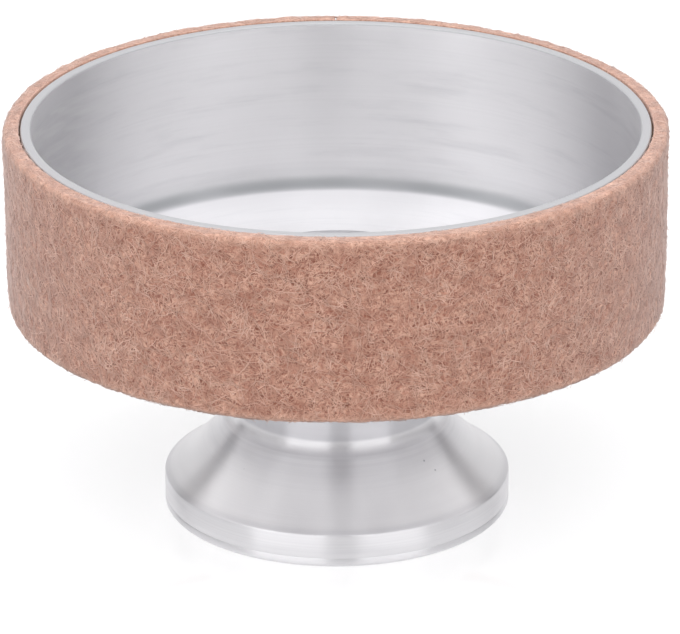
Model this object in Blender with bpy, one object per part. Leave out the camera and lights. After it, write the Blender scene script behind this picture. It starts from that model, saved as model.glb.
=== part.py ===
# Saxophone mute: a turned aluminium cup with a felt band round it, clamped to a hollow flared foot.
# Metres, +Z up. The origin is the centre of the foot's underside, and Z is the axis of every turned piece.

import math

import bmesh
import bpy

MM = 0.001

# Driving dimensions
FACETS = 60
OVERALL_HEIGHT = 55.3 * MM
FELT_RADIUS = 45.0 * MM
FACE_GAP = 0.25 * MM

# Cup
CUP_RADIUS = 42.65 * MM
CUP_WALL = 1.35 * MM
CUP_FLOOR_THICKNESS = 1.4 * MM
CUP_INSIDE_DEPTH = 24.55 * MM
CUP_INNER_CORNER = 2.0 * MM
LIP_ROUND = 0.3 * MM

# Felt band and the glue that holds it
GLUE_ROOM = 0.3 * MM
GLUE_THICKNESS = 0.14 * MM
GLUE_RECESS = 0.6 * MM
FELT_HEIGHT = 25.3 * MM
FELT_TAPER = 0.3 * MM
FELT_EDGE_ROUND = 0.7 * MM
SEAM_WIDTH = 0.35 * MM

# Foot: rim, flare and neck
FOOT_RADIUS = 23.85 * MM
RIM_HEIGHT = 4.65 * MM
RIM_TOP_ROUND = 0.25 * MM
RIM_BOTTOM_ROUND = 0.6 * MM
NECK_RADIUS = 14.25 * MM
NECK_FILLET = 2.2 * MM
NECK_FILLET_TURN = 65.0
FLARE_TOP = 12.45 * MM
FLARE_HOLLOW = 0.45 * MM

# Foot: seat under the cup, threaded spigot and bore
SEAT_RADIUS = 17.5 * MM
SEAT_THICKNESS = 1.6 * MM
SEAT_EDGE_ROUND = 0.4 * MM
SPIGOT_RADIUS = 13.0 * MM
SPIGOT_CLEARANCE = 0.25 * MM
SPIGOT_CHAMFER = 0.4 * MM
BORE_RADIUS = 11.0 * MM
BORE_MOUTH_ROUND = 3.0 * MM

# Clamped joint between cup and foot
GASKET_THICKNESS = 0.5 * MM
WASHER_THICKNESS = 0.5 * MM
NUT_RADIUS = 16.0 * MM
NUT_HEIGHT = 1.8 * MM
NUT_CHAMFER = 0.3 * MM
NUT_NOTCHES = 4
NUT_NOTCH_WIDTH = 3.0 * MM
NUT_NOTCH_DEPTH = 1.2 * MM

# Heights that follow from the dimensions above
FLOOR_TOP = OVERALL_HEIGHT - CUP_INSIDE_DEPTH
FLOOR_UNDERSIDE = FLOOR_TOP - CUP_FLOOR_THICKNESS
GASKET_BOTTOM = FLOOR_UNDERSIDE - FACE_GAP - GASKET_THICKNESS
SEAT_TOP = GASKET_BOTTOM - FACE_GAP
WASHER_BOTTOM = FLOOR_TOP + FACE_GAP
NUT_BOTTOM = WASHER_BOTTOM + WASHER_THICKNESS + FACE_GAP
NUT_TOP = NUT_BOTTOM + NUT_HEIGHT
FELT_BOTTOM = OVERALL_HEIGHT - FELT_HEIGHT
CLAMP_HOLE_RADIUS = SPIGOT_RADIUS + SPIGOT_CLEARANCE
GLUE_INNER = CUP_RADIUS + (GLUE_ROOM - GLUE_THICKNESS) / 2
FELT_INNER = CUP_RADIUS + GLUE_ROOM

# Finishes: colour, metallic, roughness
ALUMINIUM = ("turned aluminium", (0.80, 0.81, 0.83), 1.0, 0.30)
WOOL_FELT = ("pressed wool felt", (0.58, 0.33, 0.25), 0.0, 0.95)
CONTACT_CEMENT = ("contact cement", (0.24, 0.15, 0.09), 0.0, 0.60)
RED_FIBRE = ("vulcanised fibre", (0.30, 0.09, 0.06), 0.0, 0.65)
BLACK_RUBBER = ("nitrile rubber", (0.03, 0.03, 0.03), 0.0, 0.75)


def clear_scene():
    for old in list(bpy.data.objects):
        bpy.data.objects.remove(old)


def finish_material(finish):
    name, colour, metallic, roughness = finish
    material = bpy.data.materials.new(name)
    material.use_nodes = True
    shader = material.node_tree.nodes["Principled BSDF"]
    shader.inputs["Base Color"].default_value = (*colour, 1.0)
    shader.inputs["Metallic"].default_value = metallic
    shader.inputs["Roughness"].default_value = roughness
    return material


def arc(centre_r, centre_z, radius, start, end, steps):
    """Points on an arc, from the start angle to the end angle in degrees."""
    points = []
    for i in range(steps + 1):
        angle = math.radians(start + (end - start) * i / steps)
        points.append((centre_r + radius * math.cos(angle), centre_z + radius * math.sin(angle)))
    return points


def hollow_curve(start, end, hollow, steps):
    """Points of a shallow curve between two points, sunk to the left of the straight line by the hollow."""
    (r0, z0), (r1, z1) = start, end
    length = math.hypot(r1 - r0, z1 - z0)
    inward = (-(z1 - z0) / length, (r1 - r0) / length)
    points = []
    for i in range(1, steps):
        t = i / steps
        sink = hollow * 4 * t * (1 - t)
        points.append((r0 + (r1 - r0) * t + inward[0] * sink, z0 + (z1 - z0) * t + inward[1] * sink))
    return points


def turned(name, outline, finish):
    """A solid of revolution about Z from a closed outline of (radius, height) points."""
    bm = bmesh.new()
    corners = [bm.verts.new((r, 0.0, z)) for r, z in outline]
    edges = [bm.edges.new((a, b)) for a, b in zip(corners, corners[1:] + corners[:1])]
    bmesh.ops.spin(
        bm, geom=corners + edges, cent=(0, 0, 0), axis=(0, 0, 1), angle=math.tau, steps=FACETS, use_merge=True
    )
    bmesh.ops.remove_doubles(bm, verts=bm.verts[:], dist=0.001 * MM)
    bmesh.ops.recalc_face_normals(bm, faces=bm.faces[:])
    mesh = bpy.data.meshes.new(name)
    bm.to_mesh(mesh)
    bm.free()
    mesh.shade_smooth()
    mesh.set_sharp_from_angle(angle=math.radians(25))
    mesh.materials.append(finish_material(finish))
    piece = bpy.data.objects.new(name, mesh)
    bpy.context.collection.objects.link(piece)
    return piece


def flat_ring(name, inner, outer, bottom, thickness, finish):
    top = bottom + thickness
    return turned(name, [(inner, bottom), (outer, bottom), (outer, top), (inner, top)], finish)


def box_cutter(name, size, centre, turn):
    """A hidden block that cuts other pieces, turned about Z by an angle in radians."""
    bpy.ops.mesh.primitive_cube_add(size=1.0)
    cutter = bpy.context.active_object
    cutter.name = name
    for corner in cutter.data.vertices:
        corner.co = [corner.co[axis] * size[axis] + centre[axis] for axis in range(3)]
    cutter.rotation_euler = (0.0, 0.0, turn)
    cutter.hide_render = True
    cutter.display_type = "WIRE"
    return cutter


def cut(piece, cutter):
    boolean = piece.modifiers.new(cutter.name, "BOOLEAN")
    boolean.operation = "DIFFERENCE"
    boolean.solver = "EXACT"
    boolean.object = cutter


def make_cup_shell():
    """Straight wall, rounded corner and flat floor with a hole for the foot's spigot."""
    inner = CUP_RADIUS - CUP_WALL
    outer_corner = CUP_INNER_CORNER + CUP_WALL
    outline = [(CLAMP_HOLE_RADIUS, FLOOR_UNDERSIDE)]
    outline += arc(CUP_RADIUS - outer_corner, FLOOR_UNDERSIDE + outer_corner, outer_corner, -90, 0, 6)
    outline += arc(CUP_RADIUS - LIP_ROUND, OVERALL_HEIGHT - LIP_ROUND, LIP_ROUND, 0, 90, 3)
    outline += arc(inner + LIP_ROUND, OVERALL_HEIGHT - LIP_ROUND, LIP_ROUND, 90, 180, 3)
    outline += arc(inner - CUP_INNER_CORNER, FLOOR_TOP + CUP_INNER_CORNER, CUP_INNER_CORNER, 0, -90, 6)
    outline += [(CLAMP_HOLE_RADIUS, FLOOR_TOP)]
    return turned("cup_shell", outline, ALUMINIUM)


def make_flared_foot():
    """Rim, hollow flare, neck and seat outside, then the threaded spigot and the bore through all of it."""
    fillet_drop = NECK_FILLET * math.sin(math.radians(NECK_FILLET_TURN))
    neck_fillet = arc(
        NECK_RADIUS + NECK_FILLET, FLARE_TOP + fillet_drop, NECK_FILLET, 180 + NECK_FILLET_TURN, 180, 5
    )
    seat_fillet = SEAT_RADIUS - SEAT_EDGE_ROUND - NECK_RADIUS
    seat_underside = SEAT_TOP - SEAT_THICKNESS
    rim_shoulder = (FOOT_RADIUS - RIM_TOP_ROUND, RIM_HEIGHT)
    outline = arc(FOOT_RADIUS - RIM_BOTTOM_ROUND, RIM_BOTTOM_ROUND, RIM_BOTTOM_ROUND, -90, 0, 4)
    outline += [(FOOT_RADIUS, RIM_HEIGHT - RIM_TOP_ROUND), rim_shoulder]
    outline += hollow_curve(rim_shoulder, neck_fillet[0], FLARE_HOLLOW, 7)
    outline += neck_fillet
    outline += arc(NECK_RADIUS + seat_fillet, seat_underside - seat_fillet, seat_fillet, 180, 90, 5)
    outline += [
        (SEAT_RADIUS, seat_underside + SEAT_EDGE_ROUND),
        (SEAT_RADIUS, SEAT_TOP - SEAT_EDGE_ROUND),
        (SEAT_RADIUS - SEAT_EDGE_ROUND, SEAT_TOP),
        (SPIGOT_RADIUS, SEAT_TOP),
        (SPIGOT_RADIUS, NUT_TOP - SPIGOT_CHAMFER),
        (SPIGOT_RADIUS - SPIGOT_CHAMFER, NUT_TOP),
        (BORE_RADIUS + SPIGOT_CHAMFER, NUT_TOP),
        (BORE_RADIUS, NUT_TOP - SPIGOT_CHAMFER),
    ]
    outline += arc(BORE_RADIUS + BORE_MOUTH_ROUND, BORE_MOUTH_ROUND, BORE_MOUTH_ROUND, 180, 270, 4)
    return turned("flared_foot", outline, ALUMINIUM)


def make_ring_nut():
    """Flat nut on the spigot's thread, notched round its rim for a hook spanner."""
    nut = turned(
        "ring_nut",
        [
            (CLAMP_HOLE_RADIUS, NUT_BOTTOM),
            (NUT_RADIUS, NUT_BOTTOM),
            (NUT_RADIUS, NUT_TOP - NUT_CHAMFER),
            (NUT_RADIUS - NUT_CHAMFER, NUT_TOP),
            (CLAMP_HOLE_RADIUS + NUT_CHAMFER, NUT_TOP),
            (CLAMP_HOLE_RADIUS, NUT_TOP - NUT_CHAMFER),
        ],
        ALUMINIUM,
    )
    size = (2 * NUT_NOTCH_DEPTH, NUT_NOTCH_WIDTH, 3 * NUT_HEIGHT)
    centre = (NUT_RADIUS, 0.0, (NUT_BOTTOM + NUT_TOP) / 2)
    for i in range(NUT_NOTCHES):
        turn = math.tau * (i + 0.5) / NUT_NOTCHES
        cut(nut, box_cutter(f"nut_notch_cutter_{i + 1}", size, centre, turn))
    return nut


def make_felt_band(seam):
    """Straight strip bent round the cup, with soft edges and its two ends meeting at the back."""
    top_radius = FELT_RADIUS - FELT_EDGE_ROUND
    bottom_radius = top_radius - FELT_TAPER
    outline = [(FELT_INNER, FELT_BOTTOM)]
    outline += arc(bottom_radius, FELT_BOTTOM + FELT_EDGE_ROUND, FELT_EDGE_ROUND, -90, 0, 3)
    outline += arc(top_radius, OVERALL_HEIGHT - FELT_EDGE_ROUND, FELT_EDGE_ROUND, 0, 90, 3)
    outline += [(FELT_INNER, OVERALL_HEIGHT)]
    band = turned("felt_band", outline, WOOL_FELT)
    cut(band, seam)
    return band


def make_felt_adhesive(seam):
    """Film of glue between the cup's wall and the felt, stopping short of both edges."""
    height = FELT_HEIGHT - 2 * GLUE_RECESS
    outer = GLUE_INNER + GLUE_THICKNESS
    film = flat_ring("felt_adhesive", GLUE_INNER, outer, FELT_BOTTOM + GLUE_RECESS, height, CONTACT_CEMENT)
    cut(film, seam)
    return film


def main():
    clear_scene()
    make_cup_shell()
    make_flared_foot()
    make_ring_nut()
    flat_ring("nut_washer", CLAMP_HOLE_RADIUS, NUT_RADIUS, WASHER_BOTTOM, WASHER_THICKNESS, RED_FIBRE)
    flat_ring("seat_gasket", CLAMP_HOLE_RADIUS, SEAT_RADIUS, GASKET_BOTTOM, GASKET_THICKNESS, BLACK_RUBBER)
    seam_size = (SEAM_WIDTH, FELT_RADIUS, 2 * FELT_HEIGHT)
    seam_centre = (0.0, FELT_RADIUS, OVERALL_HEIGHT - FELT_HEIGHT / 2)
    seam = box_cutter("seam_cutter", seam_size, seam_centre, 0.0)
    make_felt_band(seam)
    make_felt_adhesive(seam)


main()
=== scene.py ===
# Looks of the saxophone mute: turned aluminium cup and foot, and a pressed wool felt band.

import math

import bmesh
import bpy
from mathutils import Matrix, Vector, noise


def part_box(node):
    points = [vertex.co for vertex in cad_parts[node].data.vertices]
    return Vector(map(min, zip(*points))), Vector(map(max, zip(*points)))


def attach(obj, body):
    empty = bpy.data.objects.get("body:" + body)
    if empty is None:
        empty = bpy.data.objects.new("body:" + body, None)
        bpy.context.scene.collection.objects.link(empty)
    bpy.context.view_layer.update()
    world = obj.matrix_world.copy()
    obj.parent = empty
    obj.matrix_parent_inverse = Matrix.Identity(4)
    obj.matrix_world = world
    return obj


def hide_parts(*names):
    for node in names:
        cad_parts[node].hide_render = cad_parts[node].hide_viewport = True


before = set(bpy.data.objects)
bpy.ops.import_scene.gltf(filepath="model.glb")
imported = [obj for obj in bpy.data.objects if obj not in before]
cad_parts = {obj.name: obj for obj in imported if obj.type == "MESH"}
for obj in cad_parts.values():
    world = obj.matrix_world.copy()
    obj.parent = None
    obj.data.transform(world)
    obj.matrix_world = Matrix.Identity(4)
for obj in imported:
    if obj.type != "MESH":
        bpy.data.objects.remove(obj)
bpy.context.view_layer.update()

MM = 0.001
BODY = "root"

# Photograph and camera
PHOTO_WIDTH = 680
FOCAL_PIXELS = 5244.0
SENSOR_WIDTH = 36.0
CAMERA_DISTANCE = 0.720
CAMERA_ELEVATION = math.radians(22.05)
CAMERA_ROLL = math.radians(-0.15)
CAMERA_TARGET = Vector((0.48 * MM, 0.0, 26.85 * MM))

# Lamps: name, azimuth in degrees, distance and height in metres, tilt in degrees, the face's width and height
# in metres, and its radiance
SOFTBOXES = (
    ("left_front_softbox", -31, 1.0, 0.62, 0, 0.88, 1.24, 1.10),
    ("left_side_softbox", -86, 1.0, 0.98, 0, 1.24, 1.10, 1.60),
    ("right_front_softbox", 36.5, 1.0, 0.62, 0, 0.80, 1.24, 1.02),
    ("right_side_softbox", 89, 1.0, 0.98, 0, 1.08, 1.10, 1.38),
    ("front_top_softbox", 4, 1.0, 1.05, 0, 0.60, 0.70, 2.15),
    ("back_softbox", 180, 1.0, 0.70, 0, 2.50, 1.40, 0.45),
    ("overhead_softbox", 0, 0.10, 1.10, 85, 2.00, 1.40, 1.10),
)
STUDIO_WALLS = "#E6E4E8"
STUDIO_STRENGTH = 0.28
TABLE_GLOW = 0.45
TABLE_RADIUS = 6.0

# Places read from the frame
CUP_LOW, CUP_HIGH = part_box("cup_shell")
FOOT_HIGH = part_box("flared_foot")[1]
NUT_LOW, NUT_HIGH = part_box("ring_nut")
WASHER_LOW, WASHER_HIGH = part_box("nut_washer")
GASKET_LOW, GASKET_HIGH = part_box("seat_gasket")
FELT_LOW, FELT_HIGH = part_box("felt_band")

# Fibre coats: name, shade, fibres per square metre, seed, and then in millimetres the shortest and longest
# fibre, the lowest and highest place over the felt, the lift of a loose end and the radius. Real wool is too
# fine to show in the picture, so a fibre is drawn as coarse as it needs to be, 0.05 to 0.1 mm thick.
FIBRE_COATS = (
    ("felt_deep_fibres", "dark", 740000.0, 11, 1.2, 2.6, -0.05, 0.03, 0.0, 0.050),
    ("felt_lower_fibres", "mid", 740000.0, 12, 1.2, 2.8, -0.03, 0.06, 0.0, 0.048),
    ("felt_middle_fibres", "mid", 740000.0, 15, 1.2, 3.0, -0.02, 0.09, 0.0, 0.046),
    ("felt_upper_fibres", "light", 640000.0, 13, 1.2, 3.0, 0.0, 0.13, 0.0, 0.042),
    ("felt_top_fibres", "light", 420000.0, 16, 1.4, 3.6, 0.02, 0.18, 0.0, 0.038),
    ("felt_loose_ends", "light", 110000.0, 14, 0.8, 2.0, 0.0, 0.12, 0.40, 0.026),
)
FIBRE_INPUTS = (
    ("Felt", "Geometry"),
    ("Fibres per square metre", "Float"),
    ("Seed", "Int"),
    ("Shortest", "Float"),
    ("Longest", "Float"),
    ("Lowest", "Float"),
    ("Highest", "Float"),
    ("Loose end lift", "Float"),
    ("Fibre radius", "Float"),
    ("Waviness", "Float"),
    ("Wave size", "Float"),
    ("Finish", "Material"),
)
FIBRE_POINTS = 6
WAVINESS = 1.8 * MM
WAVE_SIZE = 1.5 * MM

# Finish of the aluminium. The rings and streaks are in millimetres along the outline. The rings that a lathe
# tool usually leaves are too fine to show in the picture, so these are drawn as coarse as they need to be.
CUP_ROUGHNESS = 0.52
LIP_ROUGHNESS = 0.8
FOOT_ROUGHNESS = 0.36
RING_SHINE = 0.95
ACROSS_THE_RINGS = 0.25
RING_SPACING = 0.455
RING_DEPTH = 0.02 * MM
STREAK_WIDTH = 1.8
STREAK_LENGTH = 14.3 * MM
PIT_SPACING = 3.0 * MM
# Size of the uneven patches of painted shade in the cup's inner corner
CORNER_SHADE_SIZE = 26 * MM
WIPE_SLANT = math.radians(-7)
WIPE_SIZE = (60 * MM, 9 * MM, 1.3 * MM)
WIPED_FROM, WIPED_FULLY = -31 * MM, -36 * MM

# Finish of the felt. Its deep wool has less fuzz to catch the light than the loose fibres over it. A net of
# strands is a spacing in millimetres, a half width as a part of its noise, and a shift.
WOOL_HAZE = "#FFEAE4"
HAZE_ROUGHNESS = 0.6
DEEP_HAZE = 0.6
DYE_PATCH = 2.6 * MM
TANGLE = 0.67 * MM
TONE_DRIFT = 2.2 * MM
PIT_DEPTH = 0.12 * MM
# Width of the paler bands of painted sheen along the felt's top and bottom edges
EDGE_SHEEN_WIDTH = 1.8 * MM
EDGE_RAG = 1.1 * MM
EDGE_REACH = 1.6 * MM
STRAND_NETS = ((1.05, 0.055, 0.0), (0.77, 0.070, 0.31), (1.43, 0.040, 0.57))

# Fineness of the turned pieces
AROUND = 320
AROUND_SMALL = 160
ARC_STEP = math.radians(9)
SHARP_EDGE = math.radians(40)
LONGEST_EDGE = 1.5 * MM

# Cup
CUP_RADIUS = CUP_HIGH.x
CUP_TOP = CUP_HIGH.z
CUP_UNDERSIDE = CUP_LOW.z
CUP_WALL = 1.35 * MM
CUP_FLOOR_THICKNESS = 1.4 * MM
CUP_FLOOR = CUP_UNDERSIDE + CUP_FLOOR_THICKNESS
CUP_CORNER = 2.0 * MM
LIP_ROUND = 0.28 * MM
CLAMP_HOLE = 13.25 * MM
CLAMP_HOLE_ROUND = 0.15 * MM

# Foot
FOOT_RADIUS = FOOT_HIGH.x
FOOT_TOP = FOOT_HIGH.z
RIM_HEIGHT = 4.65 * MM
RIM_TOP_ROUND = 0.4 * MM
RIM_BOTTOM_ROUND = 0.6 * MM
GROOVE_HEIGHT = 1.3 * MM
GROOVE_HALF = 0.16 * MM
GROOVE_DEPTH = 0.07 * MM
NECK_RADIUS = 14.25 * MM
NECK_FILLET = 2.2 * MM
NECK_FILLET_TURN = math.radians(65)
FLARE_TOP = 12.45 * MM
FLARE_HOLLOW = 0.45 * MM
FLARE_STEPS = 24
FACE_GAP = 0.25 * MM
SEAT_RADIUS = GASKET_HIGH.x
SEAT_TOP = GASKET_LOW.z - FACE_GAP
SEAT_THICKNESS = 1.6 * MM
SEAT_FILLET = 2.6 * MM
SEAT_EDGE_ROUND = 0.4 * MM
SPIGOT_RADIUS = 13.0 * MM
SPIGOT_EDGE_ROUND = 0.4 * MM
SPIGOT_CORNER = 0.1 * MM
BORE_RADIUS = 11.0 * MM
BORE_MOUTH = 3.0 * MM

# Nut, washer and gasket
NUT_TOP_ROUND = 0.3 * MM
NUT_UNDERSIDE_ROUND = 0.1 * MM
NOTCHES = 4
NOTCH_DEPTH = 1.2 * MM
NOTCH_WIDTH = 3.0 * MM
NOTCH_CUTTER_HEIGHT = 6 * MM
SHEET_EDGE_ROUND = 0.06 * MM

# Felt band. Its relief is the size of lumps and how far they stand, both in millimetres.
FELT_RADIUS = FELT_HIGH.x
FELT_INNER = 42.95 * MM
FELT_TAPER = 0.3 * MM
FELT_ROUND = 0.75 * MM
FELT_BACK_ROUND = 0.1 * MM
FELT_GRID = 0.37 * MM
FELT_BACK_GRID = 2 * MM
FELT_RELIEF = ((14, 0.16), (1.6, 0.09), (0.55, 0.07))
GLUED_DEPTH = 0.3 * MM
SEAM_WIDTH = 0.35 * MM
SEAM_HALF_ANGLE = SEAM_WIDTH / 2 / FELT_RADIUS

# Settings that many nodes share
MULTIPLY = {"operation": "MULTIPLY"}
ADD = {"operation": "ADD"}
SUBTRACT = {"operation": "SUBTRACT"}
MULTIPLY_ADD = {"operation": "MULTIPLY_ADD"}
SMOOTH = {"interpolation_type": "SMOOTHSTEP"}
COLOURS = {"data_type": "RGBA"}
FLOATS = {"data_type": "FLOAT"}
VECTORS = {"data_type": "FLOAT_VECTOR"}


def linear(hex_colour):
    """sRGB hex to the linear colour that a shader socket takes."""
    channels = [int(hex_colour[i : i + 2], 16) / 255 for i in (1, 3, 5)]
    return tuple(c / 12.92 if c <= 0.04045 else ((c + 0.055) / 1.055) ** 2.4 for c in channels) + (1.0,)


def add(tree, kind, settings=None, inputs=None, out=0):
    """Adds a node. Each input is a value or the socket that feeds it. Returns one output, or all for None."""
    node = tree.nodes.new(kind)
    for name, value in (settings or {}).items():
        setattr(node, name, value)
    for name, source in (inputs or {}).items():
        if isinstance(source, bpy.types.NodeSocket):
            tree.links.new(source, node.inputs[name])
        else:
            node.inputs[name].default_value = source
    return node.outputs if out is None else node.outputs[out]


# Materials


def new_material(name, settings):
    """A material with its plain numbers and colours set on its shader's own sockets."""
    material = bpy.data.materials.new(name)
    material.use_nodes = True
    shader = material.node_tree.nodes["Principled BSDF"]
    for socket, value in settings.items():
        shader.inputs[socket].default_value = value
    return material, material.node_tree, shader


def band(tree, value, start, full_from, full_to, end):
    """A mask that is 1 from full_from to full_to and fades to 0 at start and end."""
    rise = add(tree, "ShaderNodeMapRange", SMOOTH, {"Value": value, "From Min": start, "From Max": full_from})
    fall = add(tree, "ShaderNodeMapRange", SMOOTH, {"Value": value, "From Min": end, "From Max": full_to})
    return add(tree, "ShaderNodeMath", MULTIPLY, {0: rise, 1: fall})


def tinted(tree, colour, mask, share, tint):
    """The colour with a tint laid over it by a mask, up to a share."""
    amount = add(tree, "ShaderNodeMath", MULTIPLY, {0: mask, 1: share})
    return add(tree, "ShaderNodeMix", COLOURS, {0: amount, 6: colour, 7: linear(tint)}, out=2)


def lathe_turned_aluminium(name, roughness, ring_colours, ring_strength, marks):
    """Bare aluminium off the lathe: a satin shine that spreads across fine rings left by the tool.

    The marks of one turning give its colour, its relief and a mask of faces without rings, or else None.
    """
    # The tangent runs round with the rings, and a quarter turn from it the shine runs across them
    material, tree, shader = new_material(
        name, {"Metallic": 1.0, "Anisotropic": RING_SHINE, "Anisotropic Rotation": ACROSS_THE_RINGS}
    )
    place = add(tree, "ShaderNodeTexCoord", out="Object")
    rings_way = add(
        tree, "ShaderNodeVectorMath", {"operation": "CROSS_PRODUCT"}, {0: (0.0, 0.0, 1.0), 1: place}
    )
    tree.links.new(rings_way, shader.inputs["Tangent"])
    along = add(tree, "ShaderNodeAttribute", {"attribute_name": "along_mm"}, out="Fac")

    # Rings of the tool, in fine and in broader steps
    rings = add(
        tree,
        "ShaderNodeTexNoise",
        {"noise_dimensions": "1D"},
        {"W": along, "Scale": 1 / RING_SPACING, "Detail": 4.0, "Roughness": 0.75},
    )
    dark, light = ring_colours
    colour = add(tree, "ShaderNodeMix", COLOURS, {0: rings, 6: linear(dark), 7: linear(light)}, out=2)

    # Streaks that run round with the rings, where the stock turned a little duller
    round_share = (1 / STREAK_LENGTH, 1 / STREAK_LENGTH, 0.0)
    stretched = add(tree, "ShaderNodeVectorMath", MULTIPLY, {0: place, 1: round_share})
    climb = add(tree, "ShaderNodeMath", MULTIPLY, {0: along, 1: 1 / STREAK_WIDTH})
    upward = add(tree, "ShaderNodeCombineXYZ", None, {"Z": climb})
    streak_place = add(tree, "ShaderNodeVectorMath", ADD, {0: stretched, 1: upward})
    streaks = add(
        tree,
        "ShaderNodeTexNoise",
        None,
        {"Vector": streak_place, "Scale": 1.0, "Detail": 4.0, "Roughness": 0.6},
    )
    spread = add(
        tree,
        "ShaderNodeMapRange",
        None,
        {
            "Value": streaks,
            "From Min": 0.3,
            "From Max": 0.7,
            "To Min": roughness - 0.03,
            "To Max": roughness + 0.04,
        },
    )
    dull = add(tree, "ShaderNodeMapRange", None, {"Value": streaks, "From Min": 0.52, "From Max": 0.75})
    colour = tinted(tree, colour, dull, 0.22, "#D2D2D7")

    colour, relief, plain = marks(tree, place, colour, rings)
    if plain is not None:
        # A face without rings is duller, and its shine spreads evenly
        ring_shine = add(
            tree, "ShaderNodeMapRange", None, {"Value": plain, "To Min": RING_SHINE, "To Max": 0.0}
        )
        tree.links.new(ring_shine, shader.inputs["Anisotropic"])
        spread = add(tree, "ShaderNodeMix", FLOATS, {0: plain, 2: spread, 3: LIP_ROUGHNESS})
    tree.links.new(spread, shader.inputs["Roughness"])
    tree.links.new(colour, shader.inputs["Base Color"])
    bump = {"Height": relief, "Strength": ring_strength, "Distance": RING_DEPTH}
    tree.links.new(add(tree, "ShaderNodeBump", None, bump), shader.inputs["Normal"])
    return material


def cup_marks(tree, place, colour, rings):
    """A wiped inside wall, painted shade in the inner corner and on the foot of the wall over it, and a plain
    faced lip.
    """
    height = add(tree, "ShaderNodeSeparateXYZ", None, {0: place}, out="Z")
    sideways = add(tree, "ShaderNodeSeparateXYZ", None, {0: place}, out="X")

    # Pale slanting marks of a wiping cloth, on one side of the wall
    wiping = add(
        tree,
        "ShaderNodeMapping",
        {"vector_type": "TEXTURE"},
        {"Vector": place, "Rotation": (WIPE_SLANT, 0.0, 0.0), "Scale": WIPE_SIZE},
    )
    wipes = add(
        tree, "ShaderNodeTexNoise", None, {"Vector": wiping, "Scale": 1.0, "Detail": 2.0, "Roughness": 0.5}
    )
    wiped = add(tree, "ShaderNodeMapRange", None, {"Value": wipes, "From Min": 0.48, "From Max": 0.64})
    one_side = add(
        tree, "ShaderNodeMapRange", None, {"Value": sideways, "From Min": WIPED_FROM, "From Max": WIPED_FULLY}
    )
    on_wall = band(
        tree, height, CUP_FLOOR + 6 * MM, CUP_FLOOR + 10 * MM, CUP_TOP - 4 * MM, CUP_TOP - 1.5 * MM
    )
    where = add(tree, "ShaderNodeMath", MULTIPLY, {0: one_side, 1: on_wall})
    wiped_there = add(tree, "ShaderNodeMath", MULTIPLY, {0: wiped, 1: where})
    colour = tinted(tree, colour, wiped_there, 0.7, "#FFFFFF")

    # Painted shade in the inner corner, uneven along it, and a fainter painted shade on the foot of the wall
    # just over it
    flat = add(tree, "ShaderNodeVectorMath", MULTIPLY, {0: place, 1: (1.0, 1.0, 0.0)})
    radius = add(tree, "ShaderNodeVectorMath", {"operation": "LENGTH"}, {0: flat}, out="Value")
    wall = CUP_RADIUS - CUP_WALL
    near_wall = band(tree, radius, wall - 2.8 * MM, wall - 0.9 * MM, wall + 0.1 * MM, wall + 0.3 * MM)
    near_floor = band(
        tree, height, CUP_FLOOR - 0.3 * MM, CUP_FLOOR - 0.1 * MM, CUP_FLOOR + 0.4 * MM, CUP_FLOOR + 2 * MM
    )
    corner = add(tree, "ShaderNodeMath", MULTIPLY, {0: near_wall, 1: near_floor})
    corner_shade_noise = add(
        tree, "ShaderNodeTexNoise", None, {"Vector": place, "Scale": 1 / CORNER_SHADE_SIZE, "Detail": 1.0}
    )
    unevenly = add(
        tree, "ShaderNodeMapRange", None, {"Value": corner_shade_noise, "From Min": 0.35, "From Max": 0.6, "To Min": 0.5}
    )
    painted_corner_shade = add(tree, "ShaderNodeMath", MULTIPLY, {0: corner, 1: unevenly})
    colour = tinted(tree, colour, painted_corner_shade, 1.0, "#A9ABAE")
    painted_shade_over_corner = band(
        tree, height, CUP_FLOOR + 0.1 * MM, CUP_FLOOR + 0.6 * MM, CUP_FLOOR + 1.2 * MM, CUP_FLOOR + 4.5 * MM
    )
    colour = tinted(tree, colour, painted_shade_over_corner, 0.15, "#B4B6B9")

    # The floor is faced across and a little duller than the wall
    faced = add(
        tree,
        "ShaderNodeMapRange",
        None,
        {"Value": height, "From Min": CUP_FLOOR + 1 * MM, "From Max": CUP_FLOOR},
    )
    colour = tinted(tree, colour, faced, 0.3, "#D6D6D9")

    # The lip is left as it was faced, without rings
    lip = band(tree, height, CUP_TOP - 0.35 * MM, CUP_TOP - 0.2 * MM, CUP_TOP + 1 * MM, CUP_TOP + 2 * MM)
    colour = tinted(tree, colour, lip, 1.0, "#D6D6D8")
    return colour, rings, lip


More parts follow.
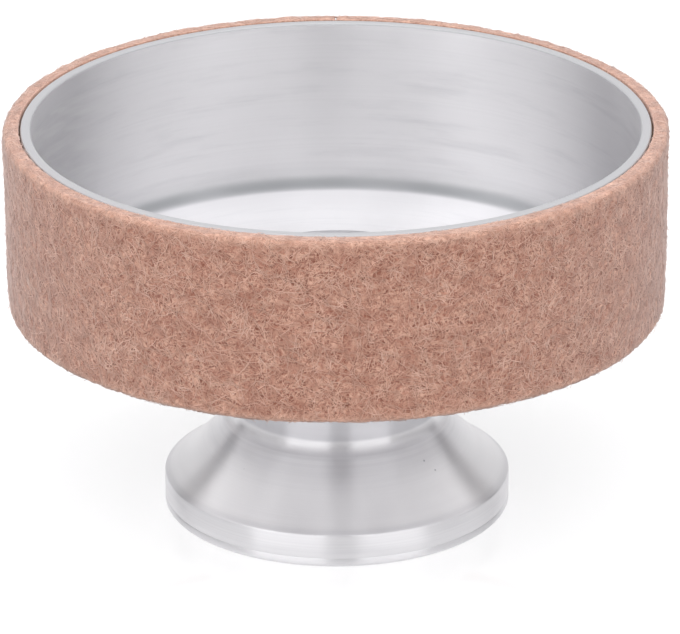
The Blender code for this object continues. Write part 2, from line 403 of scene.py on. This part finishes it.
def foot_marks(tree, place, colour, rings):
    """A neck painted a little darker than the flare as shade under the cup, a painted highlight on the fillet
    between them, the flare painted lighter as light on it, and small pits in the stock.
    """
    height = add(tree, "ShaderNodeSeparateXYZ", None, {0: place}, out="Z")
    # Painted shade on the neck, which stands under the cup
    neck = band(tree, height, FLARE_TOP + 1.6 * MM, FLARE_TOP + 2.2 * MM, FOOT_TOP, FOOT_TOP + 1 * MM)
    colour = tinted(tree, colour, neck, 0.8, "#C6C5C9")
    # Painted highlight on the fillet
    fillet = band(tree, height, FLARE_TOP - 0.3 * MM, FLARE_TOP, FLARE_TOP + 1.2 * MM, FLARE_TOP + 2.0 * MM)
    colour = tinted(tree, colour, fillet, 0.35, "#FFFEFF")
    # The flare, which faces up, painted lighter as light falling on it
    flare = band(tree, height, RIM_HEIGHT - 0.1 * MM, RIM_HEIGHT + 1 * MM, RIM_HEIGHT + 3 * MM, FLARE_TOP)
    colour = tinted(tree, colour, flare, 0.8, "#FDFCFD")

    cells = add(tree, "ShaderNodeTexVoronoi", None, {"Vector": place, "Scale": 1 / PIT_SPACING}, out=None)
    chosen = add(tree, "ShaderNodeMath", {"operation": "GREATER_THAN"}, {0: cells["Color"], 1: 0.72})
    near = add(
        tree, "ShaderNodeMapRange", None, {"Value": cells["Distance"], "From Min": 0.07, "From Max": 0.03}
    )
    pits = add(tree, "ShaderNodeMath", MULTIPLY, {0: chosen, 1: near})
    colour = tinted(tree, colour, pits, 0.7, "#8E9096")
    deep = add(tree, "ShaderNodeMath", MULTIPLY, {0: pits, 1: 2.0})
    relief = add(tree, "ShaderNodeMath", SUBTRACT, {0: rings, 1: deep})
    return colour, relief, None


def strand_net(tree, place, spacing, half_width, shift):
    """A mask of thin wavy lines, as single fibres show on pressed wool."""
    moved = add(tree, "ShaderNodeVectorMath", ADD, {0: place, 1: (shift, shift * 0.7, shift * 0.4)})
    wander = add(
        tree,
        "ShaderNodeTexNoise",
        None,
        {"Vector": moved, "Scale": 1 / spacing, "Detail": 1.0, "Distortion": 0.8},
    )
    off_middle = add(tree, "ShaderNodeMath", SUBTRACT, {0: wander, 1: 0.5})
    away = add(tree, "ShaderNodeMath", {"operation": "ABSOLUTE"}, {0: off_middle})
    return add(tree, "ShaderNodeMapRange", SMOOTH, {"Value": away, "From Min": half_width, "From Max": 0.0})


def painted_edge_sheen(tree, place):
    """A mask for the cut top and bottom edges of the felt, painted paler than its face as sheen."""
    height = add(tree, "ShaderNodeSeparateXYZ", None, {0: place}, out="Z")
    ragged = add(tree, "ShaderNodeTexNoise", None, {"Vector": place, "Scale": 1 / EDGE_RAG, "Detail": 2.0})
    uneven = add(tree, "ShaderNodeMath", MULTIPLY_ADD, {0: ragged, 1: EDGE_REACH, 2: -EDGE_REACH / 2})
    level = add(tree, "ShaderNodeMath", ADD, {0: height, 1: uneven})
    low, high = FELT_LOW.z, FELT_HIGH.z
    pressed = band(tree, level, low + 0.1 * MM, low + EDGE_SHEEN_WIDTH, high - EDGE_SHEEN_WIDTH, high - 0.2 * MM)
    return add(tree, "ShaderNodeMath", SUBTRACT, {0: 1.0, 1: pressed})


def unevenly_dyed(tree, place, colour):
    """The colour with patches, two or three millimetres across, where the felt took the dye more deeply."""
    patches = add(
        tree,
        "ShaderNodeTexNoise",
        None,
        {"Vector": place, "Scale": 1 / DYE_PATCH, "Detail": 2.0, "Roughness": 0.6},
    )
    deep = add(tree, "ShaderNodeMapRange", None, {"Value": patches, "From Min": 0.42, "From Max": 0.68})
    return tinted(tree, colour, deep, 0.45, "#A4664F")


def pressed_wool_felt():
    """Body of the felt: dull wool with fine pale strands pressed over darker, redder pits. The strands'
    paleness is painted highlight and the pits' darkness painted shade.
    """
    material, tree, shader = new_material(
        "pressed_wool_felt",
        {
            "Roughness": 0.95,
            "Specular IOR Level": 0.15,
            "Sheen Weight": DEEP_HAZE,
            "Sheen Roughness": HAZE_ROUGHNESS,
            "Sheen Tint": linear(WOOL_HAZE),
        },
    )
    place = add(tree, "ShaderNodeTexCoord", out="Object")
    tangle = add(
        tree,
        "ShaderNodeTexNoise",
        None,
        {"Vector": place, "Scale": 1 / TANGLE, "Detail": 3.0, "Roughness": 0.6},
    )
    tone = add(tree, "ShaderNodeMapRange", None, {"Value": tangle, "From Min": 0.38, "From Max": 0.62})
    # The places that the relief sinks are painted darker, as shade in the pits
    colour = add(tree, "ShaderNodeMix", COLOURS, {0: tone, 6: linear("#814B38"), 7: linear("#C6907B")}, out=2)
    strands = 0.0
    for spacing, half_width, shift in STRAND_NETS:
        net = strand_net(tree, place, spacing * MM, half_width, shift)
        strands = add(tree, "ShaderNodeMath", {"operation": "MAXIMUM"}, {0: strands, 1: net})
    # The strands that the relief raises are painted paler, as highlight
    colour = tinted(tree, colour, strands, 0.8, "#E9BBA4")
    colour = unevenly_dyed(tree, place, colour)
    # Painted sheen along the felt's top and bottom edges
    colour = tinted(tree, colour, painted_edge_sheen(tree, place), 0.35, "#EDC3AD")
    tree.links.new(colour, shader.inputs["Base Color"])
    relief = add(tree, "ShaderNodeMath", MULTIPLY_ADD, {0: strands, 1: 0.6, 2: tangle})
    bump = {"Height": relief, "Strength": 0.7, "Distance": PIT_DEPTH}
    tree.links.new(add(tree, "ShaderNodeBump", None, bump), shader.inputs["Normal"])
    return material


def wool_fibre(name, dark, light, haze):
    """Single wool fibres on the felt's surface: matt, with a soft edge glow and a tone that drifts."""
    material, tree, shader = new_material(
        name,
        {
            "Roughness": 0.6,
            "Specular IOR Level": 0.7,
            "Sheen Weight": haze,
            "Sheen Roughness": HAZE_ROUGHNESS,
            "Sheen Tint": linear(WOOL_HAZE),
        },
    )
    place = add(tree, "ShaderNodeTexCoord", out="Object")
    drift = add(tree, "ShaderNodeTexNoise", None, {"Vector": place, "Scale": 1 / TONE_DRIFT, "Detail": 2.0})
    tone = add(tree, "ShaderNodeMapRange", None, {"Value": drift, "From Min": 0.3, "From Max": 0.7})
    colour = add(tree, "ShaderNodeMix", COLOURS, {0: tone, 6: linear(dark), 7: linear(light)}, out=2)
    colour = unevenly_dyed(tree, place, colour)
    # Painted sheen along the felt's top and bottom edges
    colour = tinted(tree, colour, painted_edge_sheen(tree, place), 0.25, "#F0C8B2")
    tree.links.new(colour, shader.inputs["Base Color"])
    return material


def mottled_sheet(name, dark, light, roughness, grain, relief):
    """A dull sheet or film with a fine grain: glue, fibre board or rubber."""
    material, tree, shader = new_material(name, {"Roughness": roughness})
    place = add(tree, "ShaderNodeTexCoord", out="Object")
    speckle = add(tree, "ShaderNodeTexNoise", None, {"Vector": place, "Scale": 1 / grain, "Detail": 4.0})
    colour = add(tree, "ShaderNodeMix", COLOURS, {0: speckle, 6: linear(dark), 7: linear(light)}, out=2)
    tree.links.new(colour, shader.inputs["Base Color"])
    bump = {"Height": speckle, "Strength": 0.5, "Distance": relief}
    tree.links.new(add(tree, "ShaderNodeBump", None, bump), shader.inputs["Normal"])
    return material


# Shapes


def arc(centre, radius, start, end):
    """Points on an arc, from the start angle to the end angle."""
    steps = max(2, round(abs(end - start) / ARC_STEP))
    points = []
    for i in range(steps + 1):
        angle = start + (end - start) * i / steps
        points.append((centre[0] + radius * math.cos(angle), centre[1] + radius * math.sin(angle)))
    return points


def rounded(corners):
    """A closed outline of (radius, height, rounding) corners with each corner turned into an arc."""
    outline = []
    for i, (r, z, rounding) in enumerate(corners):
        here = Vector((r, z))
        before = (Vector(corners[i - 1][:2]) - here).normalized()
        after = (Vector(corners[(i + 1) % len(corners)][:2]) - here).normalized()
        opening = before.angle(after)
        if rounding == 0 or math.pi - opening < math.radians(1):
            outline.append((r, z))
            continue
        centre = here + (before + after).normalized() * rounding / math.sin(opening / 2)
        first = here + before * rounding / math.tan(opening / 2) - centre
        last = here + after * rounding / math.tan(opening / 2) - centre
        start = math.atan2(first.y, first.x)
        sweep = (math.atan2(last.y, last.x) - start + math.pi) % math.tau - math.pi
        outline += arc(centre, rounding, start, start + sweep)
    return outline


def spaced(outline, longest, closing=None):
    """The outline with points added so that no edge, or else the closing edge, is longer than a length."""
    points = []
    for i, (here, there) in enumerate(zip(outline, outline[1:] + outline[:1])):
        last = closing is not None and i == len(outline) - 1
        steps = max(1, math.ceil(math.dist(here, there) / (closing if last else longest)))
        points += [
            (here[0] + (there[0] - here[0]) * k / steps, here[1] + (there[1] - here[1]) * k / steps)
            for k in range(steps)
        ]
    return points


def linked_object(name, mesh, material):
    mesh.materials.append(material)
    piece = bpy.data.objects.new(name, mesh)
    bpy.context.scene.collection.objects.link(piece)
    return piece


def turned(name, outline, material, around=AROUND):
    """A smooth solid of revolution about Z that remembers the distance along its outline, in millimetres."""
    bm = bmesh.new()
    along = bm.verts.layers.float.new("along_mm")
    travelled = [0.0]
    for here, there in zip(outline, outline[1:]):
        travelled.append(travelled[-1] + math.dist(here, there) / MM)
    rings = []
    for i in range(around):
        turn = math.tau * i / around
        ring = []
        for (r, z), distance in zip(outline, travelled):
            corner = bm.verts.new((r * math.cos(turn), r * math.sin(turn), z))
            corner[along] = distance
            ring.append(corner)
        rings.append(ring)
    for ring, after in zip(rings, rings[1:] + rings[:1]):
        for k in range(len(outline)):
            m = (k + 1) % len(outline)
            bm.faces.new((ring[k], after[k], after[m], ring[m]))
    bmesh.ops.recalc_face_normals(bm, faces=bm.faces[:])
    mesh = bpy.data.meshes.new(name)
    bm.to_mesh(mesh)
    bm.free()
    mesh.shade_smooth()
    mesh.set_sharp_from_angle(angle=SHARP_EDGE)
    return linked_object(name, mesh, material)


def settle(piece, slot, *nodes):
    """Rides a finished piece on the mute and hides the CAD nodes it stands for. The slot is not used."""
    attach(piece, BODY)
    if nodes:
        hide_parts(*nodes)


def make_cup(material):
    inner = CUP_RADIUS - CUP_WALL
    outline = rounded(
        [
            (CLAMP_HOLE, CUP_UNDERSIDE, CLAMP_HOLE_ROUND),
            (CUP_RADIUS, CUP_UNDERSIDE, CUP_CORNER + CUP_WALL),
            (CUP_RADIUS, CUP_TOP, LIP_ROUND),
            (inner, CUP_TOP, LIP_ROUND),
            (inner, CUP_FLOOR, CUP_CORNER),
            (CLAMP_HOLE, CUP_FLOOR, CLAMP_HOLE_ROUND),
        ]
    )
    return turned("turned_cup", spaced(outline, LONGEST_EDGE), material)


def hollow_flare(start, end):
    """Points between two points on a shallow curve that sinks into the foot."""
    length = math.dist(start, end)
    inward = ((start[1] - end[1]) / length, (end[0] - start[0]) / length)
    points = []
    for i in range(1, FLARE_STEPS):
        t = i / FLARE_STEPS
        sink = FLARE_HOLLOW * 4 * t * (1 - t)
        r = start[0] + (end[0] - start[0]) * t + inward[0] * sink
        z = start[1] + (end[1] - start[1]) * t + inward[1] * sink
        points.append((r, z))
    return points


def make_foot(material):
    fillet_drop = NECK_FILLET * math.sin(NECK_FILLET_TURN)
    fillet = arc(
        (NECK_RADIUS + NECK_FILLET, FLARE_TOP + fillet_drop), NECK_FILLET, math.pi + NECK_FILLET_TURN, math.pi
    )
    flare = hollow_flare((FOOT_RADIUS, RIM_HEIGHT), fillet[0])
    seat_underside = SEAT_TOP - SEAT_THICKNESS
    corners = [
        (FOOT_RADIUS, 0.0, RIM_BOTTOM_ROUND),
        (FOOT_RADIUS, GROOVE_HEIGHT - GROOVE_HALF, 0.0),
        (FOOT_RADIUS - GROOVE_DEPTH, GROOVE_HEIGHT, 0.0),
        (FOOT_RADIUS, GROOVE_HEIGHT + GROOVE_HALF, 0.0),
        (FOOT_RADIUS, RIM_HEIGHT, RIM_TOP_ROUND),
    ]
    corners += [(r, z, 0.0) for r, z in flare + fillet]
    corners += [
        (NECK_RADIUS, seat_underside, SEAT_FILLET),
        (SEAT_RADIUS, seat_underside, SEAT_EDGE_ROUND),
        (SEAT_RADIUS, SEAT_TOP, SEAT_EDGE_ROUND),
        (SPIGOT_RADIUS, SEAT_TOP, SPIGOT_CORNER),
        (SPIGOT_RADIUS, FOOT_TOP, SPIGOT_EDGE_ROUND),
        (BORE_RADIUS, FOOT_TOP, SPIGOT_EDGE_ROUND),
        (BORE_RADIUS, 0.0, BORE_MOUTH),
    ]
    return turned("turned_foot", spaced(rounded(corners), LONGEST_EDGE), material)


def make_ring_nut(material):
    """The nut is turned, then its spanner notches are cut by blocks that stand across its edge."""
    outline = rounded(
        [
            (CLAMP_HOLE, NUT_LOW.z, NUT_UNDERSIDE_ROUND),
            (NUT_HIGH.x, NUT_LOW.z, NUT_UNDERSIDE_ROUND),
            (NUT_HIGH.x, NUT_HIGH.z, NUT_TOP_ROUND),
            (CLAMP_HOLE, NUT_HIGH.z, NUT_TOP_ROUND),
        ]
    )
    nut = turned("clamp_nut", outline, material, around=AROUND_SMALL)
    cutter = (2 * NOTCH_DEPTH, NOTCH_WIDTH, NOTCH_CUTTER_HEIGHT)
    for i in range(NOTCHES):
        bm = bmesh.new()
        bmesh.ops.create_cube(bm, size=1.0)
        bmesh.ops.scale(bm, verts=bm.verts, vec=cutter)
        bmesh.ops.translate(bm, verts=bm.verts, vec=(NUT_HIGH.x, 0.0, NUT_LOW.z))
        turn = math.tau * (i + 0.5) / NOTCHES
        bmesh.ops.rotate(bm, verts=bm.verts, matrix=Matrix.Rotation(turn, 3, "Z"))
        mesh = bpy.data.meshes.new("notch")
        bm.to_mesh(mesh)
        bm.free()
        notch = bpy.data.objects.new("notch", mesh)
        bpy.context.scene.collection.objects.link(notch)
        boolean = nut.modifiers.new("notch", "BOOLEAN")
        boolean.object = notch
        bpy.context.view_layer.objects.active = nut
        bpy.ops.object.modifier_apply(modifier="notch")
        bpy.data.objects.remove(notch)
    return nut


def make_flat_ring(name, low, high, inner, material):
    soft = SHEET_EDGE_ROUND
    corners = [(inner, low.z, soft), (high.x, low.z, soft), (high.x, high.z, soft), (inner, high.z, soft)]
    return turned(name, rounded(corners), material, around=AROUND_SMALL)


def felt_relief(point):
    """How far the felt's surface stands proud at a point: broad unevenness, then lumps and pits."""
    return sum(noise.noise(point / (size * MM)) * height * MM for size, height in FELT_RELIEF)


def make_felt(material):
    """A strip bent round the cup, with uneven soft edges, whose two ends meet at the back."""
    outline = spaced(
        rounded(
            [
                (FELT_INNER, FELT_LOW.z, FELT_BACK_ROUND),
                (FELT_RADIUS - FELT_TAPER, FELT_LOW.z, FELT_ROUND),
                (FELT_RADIUS, FELT_HIGH.z, FELT_ROUND),
                (FELT_INNER, FELT_HIGH.z, FELT_BACK_ROUND),
            ]
        ),
        FELT_GRID,
        closing=FELT_BACK_GRID,
    )
    columns = round(math.tau * FELT_RADIUS / FELT_GRID)
    start = math.pi / 2 + SEAM_HALF_ANGLE
    end = math.pi / 2 + math.tau - SEAM_HALF_ANGLE
    bm = bmesh.new()
    rows = []
    for i in range(columns + 1):
        turn = start + (end - start) * i / columns
        rows.append([bm.verts.new((r * math.cos(turn), r * math.sin(turn), z)) for r, z in outline])
    for row, after in zip(rows, rows[1:]):
        for k in range(len(outline)):
            m = (k + 1) % len(outline)
            bm.faces.new((row[k], after[k], after[m], row[m]))
    for row in (rows[0], rows[-1]):
        bm.faces.new(row)
    bmesh.ops.recalc_face_normals(bm, faces=bm.faces[:])
    bm.normal_update()
    shifts = {}
    for corner in bm.verts:
        radius = math.hypot(corner.co.x, corner.co.y)
        if radius > FELT_INNER + GLUED_DEPTH:
            shifts[corner] = corner.normal * felt_relief(corner.co)
    for corner, shift in shifts.items():
        corner.co += shift
    mesh = bpy.data.meshes.new("felt_strip")
    bm.to_mesh(mesh)
    bm.free()
    mesh.shade_smooth()
    return linked_object("felt_strip", mesh, material)


def fibre_tree():
    """Geometry nodes that lay wavy fibres on a felt surface and make them thin tubes."""
    tree = bpy.data.node_groups.new("lay_fibres", "GeometryNodeTree")
    for name, kind in FIBRE_INPUTS:
        tree.interface.new_socket(name, in_out="INPUT", socket_type="NodeSocket" + kind)
    tree.interface.new_socket("Fibres", in_out="OUTPUT", socket_type="NodeSocketGeometry")
    given = add(tree, "NodeGroupInput", out=None)
    felt, seed = given["Felt"], given["Seed"]
    facing = add(tree, "GeometryNodeInputNormal", out="Normal")
    position = add(tree, "GeometryNodeInputPosition")

    # Only the outside and the two edges grow fibres, not the face that is glued to the cup
    outward = add(tree, "ShaderNodeVectorMath", MULTIPLY, {0: position, 1: (1.0, 1.0, 0.0)})
    how_outward = add(
        tree, "ShaderNodeVectorMath", {"operation": "DOT_PRODUCT"}, {0: outward, 1: facing}, out="Value"
    )
    shown = add(
        tree,
        "FunctionNodeCompare",
        {"data_type": "FLOAT", "operation": "GREATER_THAN"},
        {"A": how_outward, "B": -0.01},
    )
    points = add(
        tree,
        "GeometryNodeDistributePointsOnFaces",
        {"distribute_method": "RANDOM"},
        {"Mesh": felt, "Selection": shown, "Density": given["Fibres per square metre"], "Seed": seed},
        out=None,
    )

    # Each fibre lies flat on the felt, turned and stretched at random
    turn = add(tree, "FunctionNodeRandomValue", FLOATS, {2: 0.0, 3: math.tau, "Seed": seed}, out=1)
    spin = add(tree, "FunctionNodeAxisAngleToRotation", None, {"Axis": (0.0, 0.0, 1.0), "Angle": turn})
    lying = add(
        tree,
        "FunctionNodeRotateRotation",
        {"rotation_space": "LOCAL"},
        {"Rotation": points["Rotation"], "Rotate By": spin},
    )
    lengths = {2: given["Shortest"], 3: given["Longest"], "Seed": seed}
    length = add(tree, "FunctionNodeRandomValue", FLOATS, lengths, out=1)
    line = add(
        tree, "GeometryNodeCurvePrimitiveLine", None, {"Start": (-0.5, 0.0, 0.0), "End": (0.5, 0.0, 0.0)}
    )
    strands = add(
        tree,
        "GeometryNodeInstanceOnPoints",
        None,
        {"Points": points["Points"], "Instance": line, "Rotation": lying, "Scale": length},
    )
    number = add(tree, "FunctionNodeRandomValue", FLOATS, {2: 0.0, 3: 60.0, "Seed": seed}, out=1)
    numbered = add(
        tree,
        "GeometryNodeStoreNamedAttribute",
        {"data_type": "FLOAT", "domain": "INSTANCE"},
        {"Geometry": strands, "Name": "strand", "Value": number},
    )
    real = add(tree, "GeometryNodeRealizeInstances", None, {"Geometry": numbered})
    lines = add(tree, "GeometryNodeResampleCurve", None, {"Curve": real, "Count": FIBRE_POINTS})

    # Each fibre wanders over the surface by a noise of its own, and rises and dips a little
    strand = add(tree, "GeometryNodeInputNamedAttribute", FLOATS, {"Name": "strand"})
    finer = add(tree, "ShaderNodeMath", {"operation": "DIVIDE"}, {0: 1.0, 1: given["Wave size"]})
    wander = add(
        tree,
        "ShaderNodeTexNoise",
        {"noise_dimensions": "4D"},
        {"Vector": position, "W": strand, "Scale": finer, "Detail": 1.0},
        out=None,
    )
    centred = add(tree, "ShaderNodeVectorMath", SUBTRACT, {0: wander["Color"], 1: (0.5, 0.5, 0.5)})
    swayed = add(
        tree, "ShaderNodeVectorMath", {"operation": "SCALE"}, {0: centred, "Scale": given["Waviness"]}
    )
    aside = add(tree, "ShaderNodeVectorMath", ADD, {0: position, 1: swayed})
    nearest = add(
        tree, "GeometryNodeProximity", {"target_element": "FACES"}, {0: felt, "Sample Position": aside}
    )
    felt_facing = add(
        tree,
        "GeometryNodeSampleNearestSurface",
        VECTORS,
        {"Mesh": felt, "Value": facing, "Sample Position": aside},
    )
    height = add(
        tree,
        "ShaderNodeMapRange",
        None,
        {
            "Value": wander["Fac"],
            "From Min": 0.3,
            "From Max": 0.7,
            "To Min": given["Lowest"],
            "To Max": given["Highest"],
        },
    )
    share = add(tree, "GeometryNodeSplineParameter", out="Factor")
    towards_end = add(tree, "ShaderNodeMath", {"operation": "POWER"}, {0: share, 1: 2.0})
    lifted = add(
        tree, "ShaderNodeMath", MULTIPLY_ADD, {0: towards_end, 1: given["Loose end lift"], 2: height}
    )
    proud = add(tree, "ShaderNodeVectorMath", {"operation": "SCALE"}, {0: felt_facing, "Scale": lifted})
    final_place = add(tree, "ShaderNodeVectorMath", ADD, {0: nearest, 1: proud})
    marked = add(
        tree,
        "GeometryNodeStoreNamedAttribute",
        {"data_type": "FLOAT_VECTOR", "domain": "POINT"},
        {"Geometry": lines, "Name": "felt_facing", "Value": felt_facing},
    )
    laid = add(tree, "GeometryNodeSetPosition", None, {"Geometry": marked, "Position": final_place})

    # Tubes that shade as the felt under them does, as a coat of far finer wool would
    section = add(
        tree, "GeometryNodeCurvePrimitiveCircle", None, {"Resolution": 3, "Radius": given["Fibre radius"]}
    )
    tubes = add(
        tree, "GeometryNodeCurveToMesh", None, {"Curve": laid, "Profile Curve": section, "Fill Caps": True}
    )
    under = add(tree, "GeometryNodeInputNamedAttribute", VECTORS, {"Name": "felt_facing"})
    shaded = add(
        tree,
        "GeometryNodeSetMeshNormal",
        {"mode": "FREE", "domain": "POINT"},
        {"Mesh": tubes, "Custom Normal": under},
    )
    whole = add(tree, "GeometryNodeRealizeInstances", None, {"Geometry": shaded})
    finished = add(tree, "GeometryNodeSetMaterial", None, {"Geometry": whole, "Material": given["Finish"]})
    add(tree, "NodeGroupOutput", None, {"Fibres": finished}, out=None)
    return tree


def lay_fibres(name, tree, felt, inputs):
    """One coat of fibres on the felt, as a plain mesh."""
    carrier = bpy.data.objects.new("carrier", felt.data)
    bpy.context.scene.collection.objects.link(carrier)
    modifier = carrier.modifiers.new("fibres", "NODES")
    modifier.node_group = tree
    identifiers = {s.name: s.identifier for s in tree.interface.items_tree if s.in_out == "INPUT"}
    for label, value in inputs.items():
        modifier[identifiers[label]] = value
    evaluated = carrier.evaluated_get(bpy.context.evaluated_depsgraph_get())
    mesh = bpy.data.meshes.new_from_object(evaluated)
    bpy.data.objects.remove(carrier)
    mesh.name = name
    mesh.shade_smooth()
    piece = bpy.data.objects.new(name, mesh)
    bpy.context.scene.collection.objects.link(piece)
    return piece


# Stage, light and camera


def white_table():
    """White gloss acrylic, which mirrors the mute in views from low down."""
    material, tree, shader = new_material(
        "white_acrylic_table",
        {"Base Color": linear("#D0D0D0"), "Roughness": 0.06, "Emission Color": (1.0, 1.0, 1.0, 1.0)},
    )
    path = add(tree, "ShaderNodeLightPath", out=None)
    seen = path["Is Camera Ray"]
    for ray in ("Is Glossy Ray", "Is Transmission Ray"):
        seen = add(tree, "ShaderNodeMath", {"operation": "MAXIMUM"}, {0: seen, 1: path[ray]})
    glow = add(tree, "ShaderNodeMath", MULTIPLY, {0: seen, 1: TABLE_GLOW})
    tree.links.new(glow, shader.inputs["Emission Strength"])
    return material


def make_table():
    bm = bmesh.new()
    bmesh.ops.create_circle(bm, cap_ends=True, radius=TABLE_RADIUS, segments=64)
    mesh = bpy.data.meshes.new("table")
    bm.to_mesh(mesh)
    bm.free()
    table = linked_object("table", mesh, white_table())


def softbox(name, azimuth, distance, height, tilt, width, tall, radiance):
    """An area lamp aimed at the mute's axis. Azimuth 0 is the camera's side and 90 is the photo's right."""
    a, t = math.radians(azimuth), math.radians(tilt)
    outward = Vector((math.sin(a), -math.cos(a), 0.0))
    away = outward * math.cos(t) + Vector((0.0, 0.0, math.sin(t)))
    lamp = bpy.data.lights.new(name, "AREA")
    lamp.shape = "RECTANGLE"
    lamp.size = width
    lamp.size_y = tall
    lamp.energy = radiance * math.pi * width * tall
    holder = bpy.data.objects.new(name, lamp)
    holder.location = outward * distance + Vector((0.0, 0.0, height))
    holder.rotation_euler = away.to_track_quat("Z", "Y").to_euler()
    bpy.context.scene.collection.objects.link(holder)


def make_light():
    for lamp in SOFTBOXES:
        softbox(*lamp)
    world = bpy.data.worlds.new("studio")
    world.use_nodes = True
    walls = world.node_tree.nodes["Background"]
    walls.inputs["Color"].default_value = linear(STUDIO_WALLS)
    walls.inputs["Strength"].default_value = STUDIO_STRENGTH
    bpy.context.scene.world = world
    bpy.context.scene.view_settings.view_transform = "Standard"


def make_camera():
    data = bpy.data.cameras.new("camera")
    data.sensor_width = SENSOR_WIDTH
    data.lens = FOCAL_PIXELS / PHOTO_WIDTH * SENSOR_WIDTH
    data.clip_start = 0.01
    camera = bpy.data.objects.new("camera", data)
    bpy.context.scene.collection.objects.link(camera)
    back = Vector((0.0, -math.cos(CAMERA_ELEVATION), math.sin(CAMERA_ELEVATION)))
    upright = Vector((0.0, math.sin(CAMERA_ELEVATION), math.cos(CAMERA_ELEVATION)))
    level = Vector((1.0, 0.0, 0.0))
    right = level * math.cos(CAMERA_ROLL) + upright * math.sin(CAMERA_ROLL)
    up = upright * math.cos(CAMERA_ROLL) - level * math.sin(CAMERA_ROLL)
    turn = Matrix((right, up, back)).transposed()
    camera.matrix_world = Matrix.Translation(CAMERA_TARGET + back * CAMERA_DISTANCE) @ turn.to_4x4()
    bpy.context.scene.camera = camera


def make_metal():
    cup_aluminium = lathe_turned_aluminium(
        "lathe_turned_aluminium_cup",
        roughness=CUP_ROUGHNESS,
        ring_colours=("#F3F2F4", "#FAF9FB"),
        ring_strength=0.25,
        marks=cup_marks,
    )
    foot_aluminium = lathe_turned_aluminium(
        "lathe_turned_aluminium_foot",
        roughness=FOOT_ROUGHNESS,
        ring_colours=("#DEDDE0", "#EEEDEF"),
        ring_strength=0.45,
        marks=foot_marks,
    )
    settle(make_cup(cup_aluminium), "turned_aluminium", "cup_shell")
    settle(make_foot(foot_aluminium), "turned_aluminium", "flared_foot")
    settle(make_ring_nut(foot_aluminium), "turned_aluminium", "ring_nut")


def make_sheets():
    """Washer and gasket. The glue keeps its CAD shape and gets a finish only."""
    fibre_board = mottled_sheet(
        "vulcanised_fibre", "#6B2E22", "#8C4331", roughness=0.65, grain=0.4 * MM, relief=0.02 * MM
    )
    rubber = mottled_sheet(
        "nitrile_rubber", "#1B1B1C", "#2A2A2B", roughness=0.7, grain=0.3 * MM, relief=0.02 * MM
    )
    cement = mottled_sheet(
        "dried_contact_cement", "#5A4535", "#7E6350", roughness=0.6, grain=0.5 * MM, relief=0.05 * MM
    )
    washer = make_flat_ring("fibre_washer", WASHER_LOW, WASHER_HIGH, CLAMP_HOLE, fibre_board)
    settle(washer, "vulcanised_fibre", "nut_washer")
    gasket = make_flat_ring("rubber_gasket", GASKET_LOW, GASKET_HIGH, CLAMP_HOLE, rubber)
    settle(gasket, "nitrile_rubber", "seat_gasket")
    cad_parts["felt_adhesive"].data.materials.clear()
    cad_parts["felt_adhesive"].data.materials.append(cement)


def make_wool():
    """The felt strip and the coats of fibres on it."""
    felt = make_felt(pressed_wool_felt())
    settle(felt, "wool_felt", "felt_band")
    tree = fibre_tree()
    # Tones of one wool laid by depth: the deep coat is painted darker as shade and the upper coats paler as
    # painted light
    shades = {
        "dark": wool_fibre("wool_fibre_shaded", "#874B39", "#B1725B", DEEP_HAZE),
        "mid": wool_fibre("wool_fibre_tan", "#BA7D64", "#D69F88", 1.0),
        "light": wool_fibre("wool_fibre_pale", "#E0AC95", "#F0C5B1", 1.0),
    }
    lengths = ("Shortest", "Longest", "Lowest", "Highest", "Loose end lift", "Fibre radius")
    for name, shade, density, seed, *millimetres in FIBRE_COATS:
        inputs = {label: size * MM for label, size in zip(lengths, millimetres)}
        inputs["Fibres per square metre"] = density
        inputs["Seed"] = seed
        inputs["Waviness"] = WAVINESS
        inputs["Wave size"] = WAVE_SIZE
        inputs["Finish"] = shades[shade]
        coat = lay_fibres(name, tree, felt, inputs)
        settle(coat, "wool_felt")


def main():
    make_metal()
    make_sheets()
    make_wool()
    make_table()
    make_light()
    make_camera()


main()
